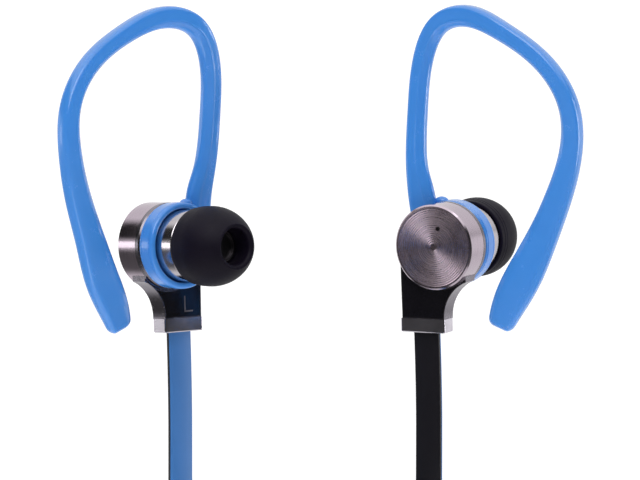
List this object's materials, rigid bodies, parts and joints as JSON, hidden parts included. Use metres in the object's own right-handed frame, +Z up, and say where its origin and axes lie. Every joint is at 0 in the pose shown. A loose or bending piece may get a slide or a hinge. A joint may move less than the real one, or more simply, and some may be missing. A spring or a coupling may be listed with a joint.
{
  "type": "ear-hook earphones",
  "caption": "Wired in-ear earphones: turned metal earpieces with soft ear hooks and silicone tips, on flat two-tone cables joined at a splitter, ending in a straight jack plug.",
  "frame": {"origin": "centre of the left earpiece's nozzle mouth, where the sound enters the ear tip", "axes": "+Z up as worn, +X from the left earpiece of the pair as laid out to the right one, -Y the side the left nozzle points to"},
  "size_m": [0.0821, 0.0354, 0.2525],
  "materials": {
    "puck_metal": "turned and polished, mauve-grey anodised",
    "face_metal": "concentric turned grooves, mauve-grey anodised",
    "nozzle_metal": "turned",
    "mesh_steel": "fine woven mesh",
    "driver_plastic": "moulded",
    "steel": "plated",
    "magnet": "nickel plated",
    "copper": "enamelled wire",
    "film": "thin film",
    "board": "solder mask",
    "damper": "acoustic paper",
    "stem_grey": "satin",
    "gloss_black": "piano gloss",
    "collar_metal": "polished",
    "soft_black": "matte moulded",
    "hook_blue": "satin soft moulding",
    "tip_black": "smooth silicone",
    "cable_two_tone": "one face blue, the other black",
    "strap": "hook and loop",
    "plug_metal": "gold plated"
  },
  "bodies": {
    "root": {"left_cable": "cable_two_tone", "left_cable_crimp": "steel", "left_cable_grommet": "soft_black", "left_diaphragm": "film", "left_driver_frame": "driver_plastic", "left_driver_magnet": "magnet", "left_driver_top_plate": "steel", "left_driver_yoke": "steel", "left_face_cap": "face_metal", "left_hank": "cable_two_tone", "left_lead_wires": "copper", "left_nozzle_housing": "nozzle_metal", "left_nozzle_mesh": "mesh_steel", "left_puck_shell": "puck_metal", "left_stem_collar": "collar_metal", "left_stem_frame": "stem_grey", "left_stem_inner_plate": "gloss_black", "left_stem_outer_plate": "gloss_black", "left_terminal_board": "board", "left_tie": "strap", "left_vent_damper": "damper", "left_voice_coil": "copper", "plug_barrel": "collar_metal", "plug_insulators": "driver_plastic", "plug_overmould": "soft_black", "plug_relief": "soft_black", "plug_ring": "plug_metal", "plug_sleeve": "plug_metal", "plug_tip": "plug_metal", "right_cable": "cable_two_tone", "right_cable_crimp": "steel", "right_cable_grommet": "soft_black", "right_diaphragm": "film", "right_driver_frame": "driver_plastic", "right_driver_magnet": "magnet", "right_driver_top_plate": "steel", "right_driver_yoke": "steel", "right_face_cap": "face_metal", "right_hank": "cable_two_tone", "right_lead_wires": "copper", "right_nozzle_housing": "nozzle_metal", "right_nozzle_mesh": "mesh_steel", "right_puck_shell": "puck_metal", "right_stem_collar": "collar_metal", "right_stem_frame": "stem_grey", "right_stem_inner_plate": "gloss_black", "right_stem_outer_plate": "gloss_black", "right_terminal_board": "board", "right_tie": "strap", "right_vent_damper": "damper", "right_voice_coil": "copper", "splitter_base": "gloss_black", "splitter_cover": "gloss_black", "splitter_joint": "board", "trunk_hank": "cable_two_tone", "trunk_tail": "cable_two_tone"},
    "left_hook": {"left_ear_hook": "hook_blue"},
    "right_hook": {"right_ear_hook": "hook_blue"},
    "left_tip": {"left_ear_tip": "tip_black"},
    "right_tip": {"right_ear_tip": "tip_black"}
  },
  "joints": [
    {"name": "left_hook_swivel", "type": "hinge", "parent": "root", "child": "left_hook", "pos_m": [-0.0115, 0.01277, -0.00078], "axis": [0.6684, -0.7424, 0.0454], "range_deg": [-25, 20]},
    {"name": "left_tip_pull", "type": "slide", "parent": "root", "child": "left_tip", "axis": [0.6684, -0.7424, 0.0454], "range_m": [0, 0.008]},
    {"name": "right_hook_swivel", "type": "hinge", "parent": "root", "child": "right_hook", "pos_m": [0.03334, 0.00844, -0.00078], "axis": [0.4843, 0.8737, 0.0454], "range_deg": [-25, 20]},
    {"name": "right_tip_pull", "type": "slide", "parent": "root", "child": "right_tip", "axis": [0.4843, 0.8737, 0.0454], "range_m": [0, 0.008]}
  ]
}
